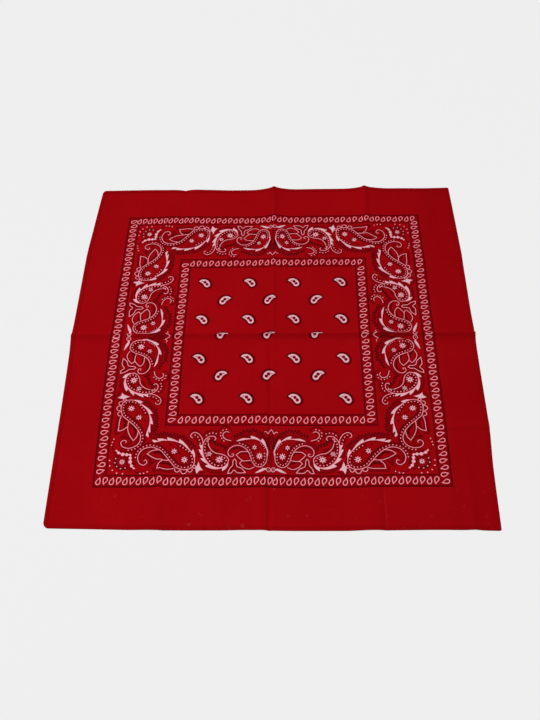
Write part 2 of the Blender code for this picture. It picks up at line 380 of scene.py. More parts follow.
def paisley_b():
    whole = np.vstack([through(B_OUTER)[16:], through(B_INNER)[1:6]])
    p = shadow([(113, 72.5), (119, 76), (126, 72.5), (130, 67), (132, 69.5), (136, 73.6), (143, 75),
                (149, 72)])
    p += shadow([(128, 62), (127, 52), (126.2, 45), (127.4, 38)], 3.4)
    p += shadow([(132, 34), (136, 25.5), (142, 20.4), (152, 18.8), (161, 20)], 3.6)
    p += feather([(162, 30.5), (158, 26.4), (150, 25.4), (142.5, 28.6), (136.8, 34.5), (133.3, 41),
                  (131.7, 47), (131.2, 53), (131.6, 58)],
                 (0.15, 0.46, 0.64, 0.84, 0.95), 1.1, 4.2, side=1, ends=(0.9, 0.3))
    p += line(B_OUTER) + line(B_INNER, ends=(0.45, 1.4))
    p += beads(beside(whole, 2.8), 4.1, first=2)
    inside = beside(whole, 5.2)[1:-1:3]
    p += shadow(inside) + dark(inside[2:], 0.8)
    p += shadow([(137, 60), (140, 53), (146, 49.4), (152, 48)])
    p += line([(131.5, 59), (130, 65), (125.5, 71), (120, 73.3), (115.6, 71.3), (115, 67.6), (118, 66)],
              ends=(1, 0.45))
    p += beads([(120.5, 69.6), (124.4, 66.8), (126.8, 62.4), (128, 58)], 4.6)
    p += beads([(135.3, 69.4), (139, 71.8), (143, 72.4), (147.4, 71)], 4.1)
    p += flower((151.8, 35.8), 4.4) + flower((139.6, 43.8), 3.3, 6)
    p += dark([(144.8, 43), (147.4, 40.6)], 1.8)
    p += line([(162.5, 72), (159, 73.5), (155.4, 71.5), (154.8, 67.5), (158, 63.2), (165, 60.6)],
              ends=(0.45, 1.1))
    p += beads([(158.5, 76.4), (154.2, 75.3), (152, 72), (152, 67.6), (153.8, 63.8), (156.2, 60.8)], 4.1)
    p += dark([(149, 66), (148.8, 73), (153, 79), (159, 80), (164.5, 76.5), (165.5, 72)])
    p += zigzag([(103, 67.8), (108, 65.2), (112, 61.4), (117, 57), (123, 53)])
    p += zigzag([(141, 62), (147, 58.4), (152, 54.2), (159, 53)], 3.8, 5.4)
    return p


def tulips():
    p = shadow([(122.6, 30), (121.6, 23), (123, 18.4), (127.5, 16.5), (131, 18.5), (136, 20)], 3.6)
    p += shadow([(130.5, 33), (131.5, 28.5), (134.5, 25)], 2.4)
    p += patch([(127.2, 33.6), (125.4, 28.8), (123.6, 25.4), (124.4, 21), (125.8, 17.6), (127.3, 20.8),
                (129.4, 22.4), (133.2, 22.6), (130.2, 26), (128.6, 29.2)])
    p += line([(170.2, 36.2), (168.2, 33.2), (168, 28.2), (164.4, 23.4), (162, 17.2)], ends=(1, 1))
    p += line([(162, 17.2), (166, 17.4), (169.8, 21.2), (174.4, 17.8), (184.2, 17.6)], ends=(1, 1))
    p += line([(184.2, 17.6), (179.2, 23.4), (173.6, 25.8), (172.2, 29.6), (172.2, 33.4), (170.2, 36.2)],
              ends=(1, 1))
    p += dark([(170.2, 33), (170.2, 27.5), (167.6, 23.4), (164.8, 19.6)], 1.1)
    p += dark([(172, 24), (176.4, 20.8), (180.6, 19)], 1.1)
    p += shadow([(165.2, 33), (164.4, 28.6), (160, 22.5), (159, 17)], 2.6)
    return p


C_TAIL = [(166, 42.2), (168.4, 43), (168.6, 40.4), (165.6, 39.2), (162.4, 41.4), (161.6, 45.8),
          (163.2, 49.6), (167.4, 53), (173.6, 54.2), (180.6, 51.8), (186.2, 46.2), (189.8, 38.6),
          (192, 32.4)]
C_HEAD = [(192, 32.4), (195.4, 27.6), (201, 25), (207, 26.6), (211, 31.6), (212.2, 38.2), (211.4, 44)]


def paisley_c():
    whole = np.vstack([through(C_TAIL)[16:], through(C_HEAD)[1:]])
    p = shadow([(159.5, 45), (160.5, 52.5), (165, 57.4), (172, 59.4)])
    inside = beside(whole, 5.2)[4:-1:3]
    p += shadow(inside, 3.4) + dark(inside[5:], 0.8)
    p += shadow([(165.5, 47), (170, 50.4), (176, 50.4), (182, 46)], 3)
    p += dark([(167, 49), (172, 50.8), (178, 49.2)], 1.2)
    p += dark([(178.4, 43.4), (184, 43.8), (188.4, 40.8)], 2.2)
    p += dark([(183, 31.2), (189, 30.2), (193, 28.4)], 2.2)
    p += shadow([(178, 66.6), (190, 68), (201, 66.4), (208, 60), (213, 51)], 3)
    p += leaf((172, 41.4), [(176.6, 45), (187, 45.4)], [(176, 36.8), (181, 33.2), (190.6, 33.8)])
    p += leaf((176.4, 29.8), [(178.2, 32.2), (181, 33.2)], [(181.6, 24.6), (188.4, 22.2), (195.6, 25.2)])
    p += line(C_TAIL) + line(C_HEAD)
    p += beads(beside(whole, 2.9)[23:], 4)
    p += beads(through([(208.6, 50), (205.6, 54.6), (201.6, 58)]), 3, 0.6)
    p += feather([(212.2, 39), (212, 46), (208.6, 53.2), (203, 59.2), (195, 62.4), (186, 62),
                  (171.5, 59.4)], (0.40, 0.65, 1), 0.9, 3.9, ends=(0.6, 0.05), fade=6)
    p += flower((202, 39.4), 4.3) + flower((195, 51.2), 3.3, 6, turned=30)
    p += dark([(198.8, 49.4), (201.4, 47.6)], 1.8) + dark([(188, 58), (192.5, 57)], 1.5)
    p += zigzag([(168.5, 64.6), (174, 68.4), (181, 72.6), (190, 73.8), (198, 73.2), (204, 70), (208, 64.4)])
    p += zigzag([(209.6, 64), (212, 56), (214.5, 49)], 3.2, 2.6)
    return p


def corner():
    """The group in the corner, the same on both sides of the diagonal."""
    mid = np.array([32.5, 32.5])
    turns = np.radians([151, 187, 225, 263, 299])
    dots = [mid + r * np.array([np.cos(a), np.sin(a)]) for r, a in zip((9.4, 8.9, 8.5, 8.9, 9.4), turns)]
    p = shadow(dots, 4.6)
    for at in dots:
        p += disc(at, 2.5, DARK, 10) + disc(at, 0.9, PALE)
    for a in np.radians([173, 200, 225, 250, 277]):
        p += disc(mid + 15.6 * np.array([np.cos(a), np.sin(a)]), 0.9, PALE)
    p += flower(mid, 3.5)
    for flip in (False, True):
        q = line([(42.3, 42.3), (37, 42.4), (32, 43), (27, 44.8), (23.6, 48.6)], 1.5, ends=(1, 0.5))
        for at, r in (((41.6, 42), 1.3), ((37.6, 42.3), 1.9), ((32.6, 42.6), 2.2), ((27.2, 44.7), 1.8),
                      ((24.2, 47.8), 1.1)):
            q += disc(at, r + 0.2, PALE) + disc(at, r - 0.3)
        q += shadow([(44, 38), (39, 38), (32, 38.6), (26, 40.4), (20.6, 45)], 2.6)
        p += [(paint, [(y, x) for x, y in poly][::-1]) for paint, poly in q] if flip else q
    return p


def axis_ornament():
    """One half of the ornament on the middle of a side, which lies at s = 0 here."""
    wing = through([(5.6, 22.5), (9.8, 22.9), (14.6, 20.6), (20.4, 16.9)])
    share = np.linspace(0, 1, len(wing))
    depth = (0.6 + 2.0 * np.sin(np.pi * share**0.8)) * (1 - share**6)
    p = shadow([(1.6, 68), (3.2, 60), (1.6, 51)], 2.4) + shadow([(0, 46), (0, 27)], 3)
    p += band(WHITE, beside(wing, 0.6), beside(wing, -depth))
    p += ring((3.2, 22.2), 2.7, 0.9) + disc((3.2, 22.2), 0.6, PALE)
    p += line([(0, 76.8), (1.9, 74.8), (4.2, 70.6), (6.4, 73), (9.4, 72.2)], ends=(1, 0.4))
    p += dark([(1.8, 70.6), (4.2, 64), (3.8, 57), (2.2, 51), (0, 46.6)], 1.2)
    p += zigzag([(7, 66), (6.4, 58), (4.6, 50)], 3, 2.4, 0.9)
    return p + dark([(0, 70), (1, 64), (0.8, 58), (0, 55)], 1)


def half_side():
    """Half a side of the border, from the diagonal through its corner to the middle of the side."""
    p = corner() + paisley_a() + paisley_b() + tulips() + paisley_c()
    p += zigzag([(66, 68.6), (73, 71), (82, 71.2), (93, 69.8), (103, 67.8)])
    for at in ((64.2, 19.6), (60, 17.9), (55.6, 17.3)):
        p += disc(at, 0.75)
    p += dark([(57, 20), (52, 18.6), (48, 21.5)])
    p += [(paint, [(SIDE_MIDDLE - x, y) for x, y in poly]) for paint, poly in axis_ornament()]
    p += patch([(0, 0), (100, 100), (0, 100)], BARE)  # nothing crosses the diagonal or the middle
    return p + patch([(SIDE_MIDDLE, 0), (240, 0), (240, 100), (SIDE_MIDDLE, 100)], BARE)


DROP_SIZE = 0.955


def drop(turned):
    """An outlined drop of the bands about its centre, its tip up and to the right, or turned half round."""
    outline = through([(2, 5.4), (0.2, 3.2), (-1.9, 1), (-3.3, -1.4), (-2.7, -4.2), (-0.2, -5.4),
                       (2.4, -4), (3.3, -0.8), (2.9, 2.4), (2, 5.4)], 1.15) * DROP_SIZE
    inner = outline * (0.66, 0.74) + (0, -0.35)
    side = -1 if turned else 1
    p = band(PALE, side * outline, side * inner)
    return p + patch(side * (outline[:-1] * 0.34 + (0, -0.9)), SHADE)


def small_paisley():
    """The motif of the middle field: a white comma in a dark outline, its tip up and to the left."""
    outer = through([(-7.9, 1.4), (-5.8, 4.1), (-2.8, 5.7), (1.2, 5.8), (4.9, 4.2), (7.6, 1.4), (9.2, -2.2),
                     (9.3, -5.4), (7.6, -8), (4.4, -9.1), (1.3, -7.6), (-0.6, -4.3), (-3.2, -1.2),
                     (-5.6, 0.4), (-7.9, 1.4)])
    outwards = beside(outer, 1) - outer
    p = patch(beside(outer, 2.8 + 0.7 * outwards[:, 0])[::-1], SHADE)
    p += patch(beside(outer, 1.7 + 0.5 * outwards[:, 0])[::-1], DARK) + patch(beside(outer, 0.1)[::-1], BARE)
    p += patch(beside(outer, -0.6)[:-1][::-1])
    petals = [(1.6, 0.3), (4.6, -3.4)]
    for petal in petals:
        p += disc(petal, 2.5, BARE)
    for x, y in petals:
        p += dark([(x - 1.5, y - 1.2), (x + 1.5, y + 1.2)], 2)
    p += dark(petals, 1.2)
    return p + dark([(-3.8, 1.8), (-0.4, 1.7)], 1.2)


# ---------------------------------------------------------------- the print as meshes
SLIVER = 1e-4  # polygons of less than half this, in square mm, are left out
TOUCH = 1e-4  # mm, within which points are one or lie on a line


def lies_inside(places, poly):
    """Which places lie inside the polygon: a line to the right of each meets an odd number of its edges."""
    x, y = places[:, :1], places[:, 1:]
    start, stop = poly, np.roll(poly, -1, axis=0)
    spans = (start[:, 1] > y) != (stop[:, 1] > y)
    rise = np.where(stop[:, 1] == start[:, 1], 1, stop[:, 1] - start[:, 1])
    meets = start[:, 0] + (y - start[:, 1]) * (stop[:, 0] - start[:, 0]) / rise
    return (spans & (x < meets)).sum(1) % 2 == 1


def united(painted):
    """The painted polygons as triangles that don't overlap: points, and the triangles of each paint."""
    shapes = []
    for paint, poly in sorted(painted, key=lambda shape: shape[0] != SHADE):  # the shade lies under all
        poly = np.array(poly, float)
        halves = [poly[[0, 1, 2]], poly[[0, 2, 3]]] if len(poly) == 4 else [poly]
        for half in halves:
            x, y = half.T
            area = np.dot(x, np.roll(y, -1)) - np.dot(y, np.roll(x, -1))
            if abs(area) > SLIVER:
                shapes.append((paint, half if area > 0 else half[::-1]))
    counts = np.cumsum([0] + [len(poly) for _, poly in shapes])
    faces = [list(range(start, stop)) for start, stop in zip(counts, counts[1:])]
    points = [Vector(p) for _, poly in shapes for p in poly]
    found = geometry.delaunay_2d_cdt(points, [], faces, 0, TOUCH)
    corners, triangles = np.array([tuple(p) for p in found[0]]), np.array(found[2])
    middles = corners[triangles].mean(1)
    paint_of = np.full(len(triangles), BARE)
    for paint, poly in shapes:
        near = np.nonzero(((middles > poly.min(0)) & (middles < poly.max(0))).all(1))[0]
        paint_of[near[lies_inside(middles[near], poly)]] = paint
    return corners, {paint: triangles[paint_of == paint] for paint in PAINTS}


printed = {paint: [] for paint in PAINTS}  # the triangles of each paint, in mm in the cloth's plane


def stamp(motif, turn, at):
    """Prints the motif, turned or mirrored by a matrix, about that place."""
    corners, triangles = motif
    turn = np.array(turn, float)
    placed = corners @ turn.T + at
    for paint, chosen in triangles.items():
        flipped = chosen if np.linalg.det(turn) > 0 else chosen[:, ::-1]
        printed[paint].append(placed[flipped])


def cut_along(triangles, axis, at):
    """The triangles (n, 3, 2), each parted where it crosses the line at that place on the axis."""
    side = triangles[:, :, axis] - at
    side[np.abs(side) < TOUCH] = 0
    crossing = (side.max(1) > 0) & (side.min(1) < 0)
    if not crossing.any():
        return triangles
    whole, parted = triangles[~crossing], triangles[crossing]
    side = np.sign(side[crossing])
    # Each is turned so that its first corner is alone on its side, or lies on the line.
    on_line = (side == 0).any(1)
    alone = np.where(on_line, np.argmax(side == 0, axis=1),
                     np.argmax(side == -np.sign(side.sum(1))[:, None], axis=1))
    order = (alone[:, None] + np.arange(3)) % 3
    a, b, c = np.take_along_axis(parted, order[:, :, None], 1).transpose(1, 0, 2)

    def meet(p, q):
        t = ((at - p[:, axis]) / (q[:, axis] - p[:, axis]))[:, None]
        return p + (q - p) * t

    pieces = [whole]
    k = on_line
    if k.any():
        m = meet(b[k], c[k])
        pieces += [np.stack([a[k], b[k], m], 1), np.stack([a[k], m, c[k]], 1)]
    k = ~on_line
    if k.any():
        m, n = meet(a[k], b[k]), meet(a[k], c[k])
        pieces += [np.stack([a[k], m, n], 1), np.stack([m, b[k], c[k]], 1), np.stack([m, c[k], n], 1)]
    return np.concatenate(pieces)


FRAME_AT = (0.75, -0.3)  # the printed frame's middle, in the cloth's plane
BORDER_AT = (0.55, -0.7)  # the middle of the border's motifs
FRAME_LINES = ((0, 1.7), (14.6, 1.4), (82.9, 1.4), (97.4, 1.5))  # how far in, and how wide
BAND_GROUNDS = ((-1.3, 15.9), (81.6, 98.7))  # from how far in to how far in the dull grounds reach
GROUND_ROWS = 6  # the lines of points across a ground
LINE_STEPS = 150  # the points along a frame line or a ground

# How the border's motifs are spaced along the front and back sides, and along the left and
# right ones: (place from the corner, how far on towards the side's middle, how far inwards).
SPACING = {
    "rows": [(0, 0.5, 0.4), (47, 0.5, 0.4), (60, 1.3, 0), (77.5, 1.9, -0.4), (105.5, 1.6, -0.4),
             (133.5, 0.5, -0.2), (161.5, 2.4, 0.9), (189.5, 2.4, 1), (217.5, 0, 0.3)],
    "columns": [(0, 0.4, 0.5), (47, 0.4, 0.5), (60, -0.4, 0.7), (77.5, 0.1, 0.2), (105.5, -1.1, 1.7),
                (133.5, -3.1, 1.3), (161.5, -2.3, 1.7), (189.5, -0.4, 3), (217.5, 0, 2.6)],
}


def spaced(motif, rows):
    """The motif with its places moved by that table."""
    corners, triangles = motif
    places, *moves = zip(*rows)
    moved = [np.interp(corners[:, 0], places, move) for move in moves]
    return corners + np.column_stack(moved), triangles


AS_DRAWN = ((1, 0), (0, 1))
SWAPPED = ((0, 1), (1, 0))
TURNS = [AS_DRAWN, ((0, -1), (1, 0)), ((-1, 0), (0, -1)), ((0, 1), (-1, 0))]
side_motif = united(half_side())
for turn, rows in zip(TURNS, [SPACING["rows"], SPACING["columns"]] * 2):
    for mirror in (1, -1):
        place = np.array(turn, float) @ np.array([-mirror * SIDE_MIDDLE, -SIDE_MIDDLE]) + BORDER_AT
        stamp(spaced(side_motif, rows), np.array(turn, float) @ np.diag([mirror, 1]), place)

# The bands of drops, which point by turns one way and the other: how far in a band lies, which way
# it runs ("x" front and back, "y" left and right) and on which side of the middle, whether its
# first drop's tip points up or to the right ("ahead") or down or to the left ("back"), and where its
# drops stand: (number of the drop, its place from the middle). The folds take up some of the cloth.
DROP_ROWS = [
    (7.4, "x", -1, "ahead",
     [(0, -212.1), (10, -128.7), (13, -103.5), (22, -26.4), (25, -1.4), (26, 5.1), (34, 73.2), (40, 124.5),
      (43, 149.1), (49, 199.2)]),
    (7.4, "y", 1, "back",
     [(0, -211.9), (4, -175), (7, -147.6), (19, -40.2), (23, -4.2), (24, 2.3), (31, 64.5), (34, 91.7),
      (37, 120.9), (40, 146.6), (43, 174.6), (46, 201.6)]),
    (7.4, "x", 1, "ahead",
     [(0, -202.5), (4, -170.9), (7, -147.6), (10, -124.3), (16, -74.1), (22, -23.1), (24, -6.7), (25, 1.1),
      (28, 26.2), (31, 52.5), (34, 79.6), (37, 105.3), (40, 132.2), (43, 156.7), (49, 208.5)]),
    (7.4, "y", -1, "ahead",
     [(0, -197.8), (7, -135.9), (13, -83.4), (19, -31.5), (22, -5.8), (23, -0.4), (25, 17.5), (28, 45.2),
      (31, 72.4), (34, 99.8), (37, 128.2), (40, 154.7), (43, 182.5), (46, 209.3)]),
    (90.3, "x", -1, "ahead",
     [(0, -116.4), (3, -89.7), (9, -35.4), (12, -8.7), (14, 8.2), (25, 107), (26, 115.9)]),
    (90.3, "y", 1, "ahead",
     [(0, -128.1), (11, -28), (13, -9.5), (14, -0.8), (15, 5.4), (17, 23.4), (25, 96.6), (27, 115.3)]),
    (90.3, "x", 1, "ahead",
     [(0, -117.3), (11, -17.5), (12, -8.5), (13, 0.2), (14, 7.9), (15, 17), (27, 126.4)]),
    (90.3, "y", -1, "ahead",
     [(0, -127.8), (7, -64.4), (13, -9.4), (14, -0.8), (15, 5.1), (17, 23.2), (28, 124.2)]),
]
BACK_SHIFT = 0.5  # how much farther along the drops stand that point back
ahead_and_back = [united(drop(turned)) for turned in (False, True)]
for inset, runs, side, first, stands in DROP_ROWS:
    numbers, places = zip(*stands)
    for i in range(numbers[-1] + 1):
        back = (i + (first == "back")) % 2
        at = np.array([np.interp(i, numbers, places) + back * BACK_SHIFT, side * (SIDE_MIDDLE - inset)])
        if runs == "x":
            stamp(ahead_and_back[back], AS_DRAWN, at + FRAME_AT)
        else:
            stamp(ahead_and_back[back], SWAPPED, at[::-1] + FRAME_AT)


def frame_strip(paint, reaches):
    """A strip along the front side, mitred at its ends: reaches are its lines' places from the middle."""
    steps = np.linspace(-1, 1, LINE_STEPS)[:, None]
    rows = [np.hstack([steps * reach, -reach + 0 * steps]) for reach in reaches]
    return united([cell for outer, inner in zip(rows, rows[1:]) for cell in band(paint, outer, inner)])


strips = [frame_strip(DARK, SIDE_MIDDLE - inset + np.array([width / 2, -width / 2]))
          for inset, width in FRAME_LINES]
strips += [frame_strip(FAINT, SIDE_MIDDLE - np.linspace(near, far, GROUND_ROWS))
           for near, far in BAND_GROUNDS]
for strip in strips:
    for turn in TURNS:
        stamp(strip, turn, FRAME_AT)


def folded(motif, at, lost):
    """The motif without the strip that a crease hides: it starts at that height of the motif."""
    corners, triangles = motif
    points, left = [], {}
    for paint, chosen in triangles.items():
        parted = cut_along(cut_along(corners[chosen], 1, at), 1, at + lost)
        middles = parted[:, :, 1].mean(1)
        parted[middles > at + lost, :, 1] -= lost
        parted = parted[(middles < at) | (middles > at + lost)]
        left[paint] = np.arange(len(parted) * 3).reshape(-1, 3) + sum(len(p) for p in points)
        points.append(parted.reshape(-1, 2))
    return np.concatenate(points), left


# The middle field: the places of its columns and rows from the middle, whether its motifs lean
# to the left (1) or to the right (-1), and how much of them the crease hides.
FIELD = [
    {"lean": 1, "columns": (-98.7, -33.9, 29.0, 95.0), "rows": (92.9, 29.5, -34.1, -95.0), "hidden": 0},
    {"lean": -1, "columns": (-65.6, -2.0, 63.3), "rows": (62.5, -60.2), "hidden": 0},
    {"lean": -1, "columns": (-65.6, 63.3), "rows": (4.4,), "hidden": 4.8},
    {"lean": -1, "columns": (-2.0,), "rows": (4.0,), "hidden": 3.2},
]
FOLD_AT = -2.5  # where the crease starts to hide those of the middle row
little = united(small_paisley())
for group in FIELD:
    shown = folded(little, FOLD_AT, group["hidden"]) if group["hidden"] else little
    for across in group["columns"]:
        for along in group["rows"]:
            stamp(shown, ((group["lean"], 0), (0, 1)), (across + FRAME_AT[0], along + FRAME_AT[1]))


# How far out the print lies of its true square, along each side of the frame:
# (place, at the outer band of drops, at the inner one), in mm.
DRIFT_ROWS = {
    "left": [(-215, -0.6, 0.3), (-175, 0.8, 0.3), (-125, 2.2, 0.4), (-66, 3.1, 0.8), (-10, 3.8, 1.1),
             (35, 2.9, 0.7), (66, 2.6, 0), (110, 1.9, -0.2), (160, 1.4, -0.2), (215, 0.2, -0.2)],
    "right": [(-215, 0.3, -1.1), (-175, 0.9, -1.1), (-115, 1.6, -1.2), (-66, 1.3, -1.5), (0, 1.3, -1.8),
              (50, 1, -1.5), (88, 1.2, -1.1), (125, 1.5, -1.1), (175, 0.5, -1.1), (215, 0, -1.1)],
    "front": [(-215, 0.4, 0.2), (-141.5, 0.7, 0.2), (-136.5, -1.1, 0.2), (-131.5, 0.9, 0.2),
              (-110, 0.8, 0.2), (-66, 1.1, 0.4), (0, 0.9, 0.8), (66, 1.5, 1.1), (110, 1.1, 0.8),
              (150, -0.4, 0.8), (215, -0.4, 0.8)],
    "back": [(-215, -1.9, -1.1), (-175, -1.4, -1.1), (-125, -1.1, -1.1), (-75, -1.5, -0.9),
             (-25, -2.2, -0.3), (25, -1.7, -0.1), (66, -1.1, 0.6), (110, -1.2, 0.1), (150, -1.5, 0),
             (215, -0.5, 0)],
}
OUTER_BAND, INNER_BAND = 210.0, 127.5  # where those two bands lie, from the middle


def drifted(points):
    """Where the points of the true print lie on the cloth, whose weave is a little out of square."""
    moved = points.copy()
    for axis, (low, high) in enumerate((("left", "right"), ("front", "back"))):
        across, along = points[..., axis], points[..., 1 - axis]
        low_at, *low_out = zip(*DRIFT_ROWS[low])
        high_at, *high_out = zip(*DRIFT_ROWS[high])
        outer_low, inner_low = (-np.interp(along, low_at, out) for out in low_out)
        outer_high, inner_high = (np.interp(along, high_at, out) for out in high_out)
        middle = np.clip((across + INNER_BAND) / (2 * INNER_BAND), 0, 1)
        side = np.clip((np.abs(across) - INNER_BAND) / (OUTER_BAND - INNER_BAND), 0, 1)
        inner = inner_low * (1 - middle) + inner_high * middle
        outer = np.where(across < 0, outer_low, outer_high)
        moved[..., axis] += inner * (1 - side) + outer * side
    return moved


BEND_STEP = 2.5  # mm between the places looked at along a line
LEAST_BEND = 0.02 * MM  # where the cloth bends less, the print's faces stay whole


def bend_at(axis, at):
    """How far the cloth leaves a straight line, at most, within 1 mm on both sides of that place."""
    along = np.arange(-SIDE_MIDDLE, SIDE_MIDDLE, BEND_STEP) * MM
    heights = []
    for step in (-MM, 0, MM):
        places = [np.full_like(along, at + step), along]
        heights.append(height(*(places if axis == 0 else places[::-1])))
    return np.abs(heights[0] - 2 * heights[1] + heights[2]).max()


# The lines of the cloth's grid at which it bends so much that the print has to bend there too.
BENDS = [(axis, at / MM) for axis, runs in enumerate("yx")
         for at in grid_lines(runs, SIDE_MIDDLE * MM, np.inf)[1:-1] if bend_at(axis, at) > LEAST_BEND]


UV_MARGIN = 1.01  # the side of a print's map, in sides of the printed frame


def print_piece(name, paint, lift, material):
    """All that is printed in one paint, its faces lying a little above the cloth."""
    triangles = drifted(np.concatenate(printed[paint]))
    for axis, at in BENDS:
        triangles = cut_along(triangles, axis, at)
    flat = np.round(triangles.reshape(-1, 2), 4)  # so that the corners they share are the same
    places, index = np.unique(flat, axis=0, return_inverse=True)
    index = index.reshape(-1, 3)
    index = index[(index != np.roll(index, 1, axis=1)).all(1)]  # without those that became a line
    x, y = places.T * MM
    up = normals(x, y)
    points = np.column_stack([x, y, height(x, y) + CLOTH_WALL]) + up * lift * MM
    uv = 0.5 + np.column_stack([x, y]) / (FRAME_SIDE * MM * UV_MARGIN)
    return make_mesh(name, points, index.tolist(), [material], vertex_normals=up, uv=uv)


# ---------------------------------------------------------------- materials
def nodes_of(name, values):
    """A new material, its node tree and its shader, with these constant values on the shader."""
    material = bpy.data.materials.new(name)
    material.use_nodes = True
    tree = material.node_tree
    tree.nodes.clear()
    out = tree.nodes.new("ShaderNodeOutputMaterial")
    shader = tree.nodes.new("ShaderNodeBsdfPrincipled")
    tree.links.new(shader.outputs["BSDF"], out.inputs["Surface"])
    for socket, value in values.items():
        shader.inputs[socket].default_value = value
    return material, tree, shader


class Maker:
    """Short ways to add the nodes of one material."""

    def __init__(self, tree):
        self.tree = tree

    def node(self, kind, **values):
        node = self.tree.nodes.new(kind)
        for key, value in values.items():
            if hasattr(node, key):
                setattr(node, key, value)
            else:
                self.put(node.inputs[key], value)
        return node

    def put(self, socket, value):
        if isinstance(value, bpy.types.NodeSocket):
            self.tree.links.new(value, socket)
        else:
            socket.default_value = value

    def math(self, operation, *values):
        node = self.tree.nodes.new("ShaderNodeMath")
        node.operation = operation
        for socket, value in zip(node.inputs, values):
            self.put(socket, value)
        return node.outputs[0]

    def ramp(self, value, low, high, out_low=0.0, out_high=1.0):
        node = self.tree.nodes.new("ShaderNodeMapRange")
        node.interpolation_type = "SMOOTHSTEP"
        for socket, number in zip(node.inputs, (value, low, high, out_low, out_high)):
            self.put(socket, number)
        return node.outputs[0]

    def mix(self, share, a, b):
        node = self.tree.nodes.new("ShaderNodeMix")
        node.data_type = "RGBA"
        for socket, value in ((node.inputs[0], share), (node.inputs[6], a), (node.inputs[7], b)):
            self.put(socket, value)
        return node.outputs[2]

    def noise(self, place, scale, detail=2.0, rough=0.5):
        node = self.node("ShaderNodeTexNoise", Vector=place, Scale=scale, Detail=detail, Roughness=rough)
        return node.outputs["Fac"]

    def stretched(self, place, factors):
        return self.node("ShaderNodeMapping", Vector=place, Scale=factors).outputs["Vector"]


THREAD = 0.46 * MM  # from thread to thread
WORN_LINE = 136.2 * MM  # where an old fold has worn the front margin pale
RUBBED_ROWS = (-222 * MM, -232 * MM)  # where that starts and is full, towards the front
FLECK_ROWS = (-190 * MM, -225 * MM)  # the same of the rubbed flecks
SHADED_SIDE_COLUMNS = (205 * MM, 235 * MM)  # the same of the painted shade, which darkens the cloth towards both sides
RUBBED = (0.62, 0.13, 0.15, 1)
# painted shade: the colour the cloth darkens to towards its left and right sides
PAINTED_SIDE_SHADE = (0.200, 0.0010, 0.0030, 1)
SHOWING_THROUGH = (0.42, 0.02, 0.03, 1)  # the red cotton under a thin place of the white print
MATT = {"Roughness": 0.95, "Specular IOR Level": 0.01}


def weave(make, place):
    """The height of the plain weave, from 0 to 1."""
    apart = make.node("ShaderNodeSeparateXYZ", Vector=place)
    wave_x, wave_y = (make.math("SINE", make.math("MULTIPLY", way, np.pi / THREAD))
                      for way in list(apart.outputs)[:2])
    over = make.math("MULTIPLY", wave_x, wave_y)  # above 0 where the warp lies on top
    warp = make.math("MULTIPLY", make.math("ABSOLUTE", wave_x), make.ramp(over, -0.25, 0.25))
    weft = make.math("MULTIPLY", make.math("ABSOLUTE", wave_y), make.ramp(over, 0.25, -0.25))
    return make.math("MAXIMUM", warp, weft)


def worn_and_side_shaded(make, place, base):
    """The colour with its rubbed marks in the front margin, and painted shade that darkens it towards the
    left and right.
    """
    x, y = list(make.node("ShaderNodeSeparateXYZ", Vector=place).outputs)[:2]
    away = make.math("ABSOLUTE", make.math("SUBTRACT", x, WORN_LINE))
    rubbed = make.math("MULTIPLY", make.ramp(away, 1.1 * MM, 0.1 * MM),
                       make.ramp(y, *RUBBED_ROWS, 0.0, 0.03))
    flecks = make.math("MULTIPLY", make.ramp(make.noise(place, 88.0), 0.66, 0.80, 0.0, 0.10),
                       make.ramp(y, *FLECK_ROWS))
    # painted shade: the colour darkens towards the left and right sides
    start, full = SHADED_SIDE_COLUMNS
    sides = make.math("MAXIMUM", make.ramp(x, -start, -full, 0.0, 0.12),
                      make.ramp(x, start, full, 0.0, 0.20))
    return make.mix(sides, make.mix(make.math("MAXIMUM", rubbed, flecks), base, RUBBED), PAINTED_SIDE_SHADE)


def cotton(name, color, deep, bleed=0.0, wear_and_side_shade=True):
    """Plain-weave cotton with uneven threads, slubs and a soft mottle between the two colours.

    bleed is how much red shows through its thin places. The last argument adds the rubbed marks of the plain
    margins, and painted shade towards their left and right sides.
    """
    material, tree, shader = nodes_of(name, MATT)
    make = Maker(tree)
    place = make.node("ShaderNodeTexCoord").outputs["Object"]
    top = weave(make, place)
    slubs = [make.ramp(make.noise(make.stretched(place, factors), 1.0, 3.0, 0.6), 0.3, 0.7)
             for factors in ((700, 22, 700), (22, 700, 700))]
    slub = make.math("ADD", *slubs)
    mottle = make.noise(place, 13.0, 5.0, 0.6)
    shade = make.math("ADD", make.math("MULTIPLY", slub, 0.12), make.math("MULTIPLY", mottle, 0.8))
    # painted shade of the weave: its raised threads lighter, its hollows darker
    shade = make.math("ADD", shade, make.math("MULTIPLY", top, 0.12))
    base = make.mix(make.ramp(shade, 0.30, 0.90), deep, color)
    # the rubbed marks, and the painted shade at the sides
    if wear_and_side_shade:
        base = worn_and_side_shaded(make, place, base)
    if bleed:
        thin = make.noise(place, 420.0, 2.0, 0.6)
        base = make.mix(make.ramp(thin, 0.50, 0.80, 0.0, bleed), base, SHOWING_THROUGH)
    tree.links.new(base, shader.inputs["Base Color"])
    soft = make.noise(place, 30.0, 3.0)
    bumped = {}
    for relief, strength, depth in ((top, 0.3, 0.05), (slub, 0.2, 0.05), (soft, 0.22, 0.5)):
        bump = make.node("ShaderNodeBump", Height=relief, Strength=strength, Distance=depth * MM, **bumped)
        bumped = {"Normal": bump.outputs["Normal"]}
    tree.links.new(bumped["Normal"], shader.inputs["Normal"])
    return material


